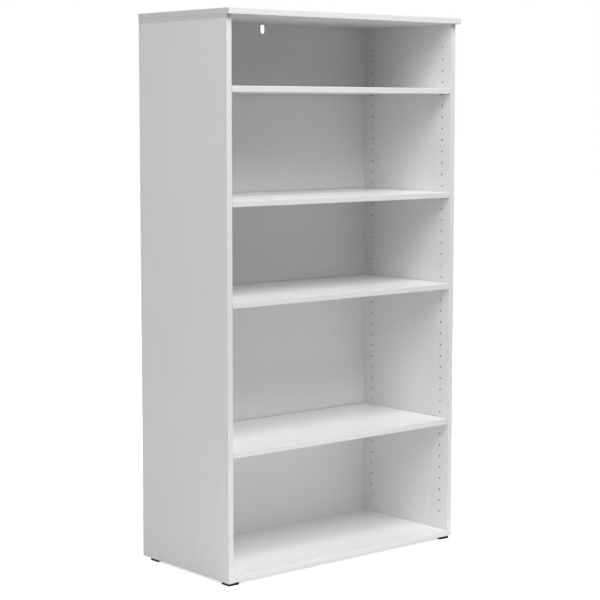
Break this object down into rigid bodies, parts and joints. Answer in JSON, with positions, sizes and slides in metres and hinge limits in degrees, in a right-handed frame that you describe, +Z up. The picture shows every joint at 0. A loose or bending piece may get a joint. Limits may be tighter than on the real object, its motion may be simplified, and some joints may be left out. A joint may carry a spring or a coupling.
{
  "type": "bookcase with adjustable shelves",
  "caption": "Tall open-fronted bookcase of white board, with rows of pin holes in its sides, loose shelves on steel pins that go to other heights, and a thin grooved back",
  "frame": {"origin": "on the floor, under the middle of the overall box", "axes": "+X to the right seen from the front, +Y to the back, +Z up; the open front faces -Y"},
  "size_m": [0.81, 0.396, 1.466],
  "materials": {
    "melamine_board": "satin",
    "edge_band": "satin",
    "back_board": "satin",
    "pin_steel": "satin",
    "glide_plastic": "matte",
    "screw_steel": "satin",
    "dowel_wood": "matte"
  },
  "bodies": {
    "carcass": {"side_panel_left": "melamine_board", "side_panel_right": "melamine_board", "top_panel": "melamine_board", "bottom_panel": "melamine_board", "back_panel": "back_board", "side_band_left": "edge_band", "side_band_right": "edge_band", "bottom_band": "edge_band", "top_band_front": "edge_band", "top_band_left": "edge_band", "top_band_right": "edge_band", "pin_1_front_left": "pin_steel", "pin_1_front_right": "pin_steel", "pin_1_rear_left": "pin_steel", "pin_1_rear_right": "pin_steel", "pin_2_front_left": "pin_steel", "pin_2_front_right": "pin_steel", "pin_2_rear_left": "pin_steel", "pin_2_rear_right": "pin_steel", "pin_3_front_left": "pin_steel", "pin_3_front_right": "pin_steel", "pin_3_rear_left": "pin_steel", "pin_3_rear_right": "pin_steel", "pin_4_front_left": "pin_steel", "pin_4_front_right": "pin_steel", "pin_4_rear_left": "pin_steel", "pin_4_rear_right": "pin_steel", "foot_front_left": "glide_plastic", "foot_front_right": "glide_plastic", "foot_rear_left": "glide_plastic", "foot_rear_right": "glide_plastic", "foot_screws": "screw_steel", "top_dowels": "dowel_wood", "bottom_dowels": "dowel_wood"},
    "shelf_1": {"shelf_1": "melamine_board", "shelf_1_band": "edge_band"},
    "shelf_2": {"shelf_2": "melamine_board", "shelf_2_band": "edge_band"},
    "shelf_3": {"shelf_3": "melamine_board", "shelf_3_band": "edge_band"},
    "shelf_4": {"shelf_4": "melamine_board", "shelf_4_band": "edge_band"}
  },
  "joints": [
    {"name": "draw_out_shelf_1", "type": "slide", "parent": "carcass", "child": "shelf_1", "axis": [0, -1, 0], "range_m": [0, 0.36]},
    {"name": "draw_out_shelf_2", "type": "slide", "parent": "carcass", "child": "shelf_2", "axis": [0, -1, 0], "range_m": [0, 0.36]},
    {"name": "draw_out_shelf_3", "type": "slide", "parent": "carcass", "child": "shelf_3", "axis": [0, -1, 0], "range_m": [0, 0.36]},
    {"name": "draw_out_shelf_4", "type": "slide", "parent": "carcass", "child": "shelf_4", "axis": [0, -1, 0], "range_m": [0, 0.36]}
  ]
}
